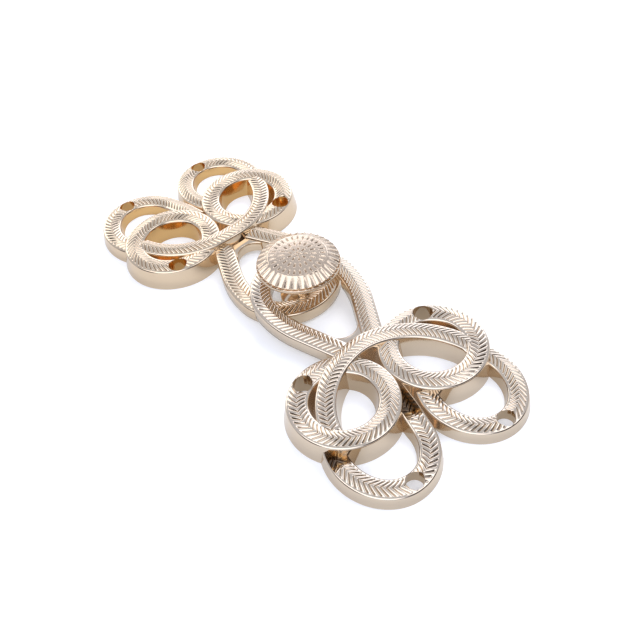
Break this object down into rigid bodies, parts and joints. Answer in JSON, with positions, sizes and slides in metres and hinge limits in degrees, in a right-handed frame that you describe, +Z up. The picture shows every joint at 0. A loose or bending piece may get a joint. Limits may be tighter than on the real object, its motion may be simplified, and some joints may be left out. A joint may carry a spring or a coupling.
{
  "type": "frog clasp",
  "caption": "Fastened metal frog clasp: two looped-knot halves with sewing holes, joined neck to neck by a fluted button held in an eye.",
  "frame": {"origin": "centre of the bounding box in plan, on the flat back", "axes": "+X along the eye half, away from the button; +Y across it; +Z up, away from the garment"},
  "size_m": [0.0652, 0.0292, 0.0082],
  "materials": {
    "plated_metal": "satin"
  },
  "bodies": {
    "root": {"eye_half": "plated_metal", "stud_half": "plated_metal", "button_post": "plated_metal", "button_cap": "plated_metal"}
  },
  "joints": []
}
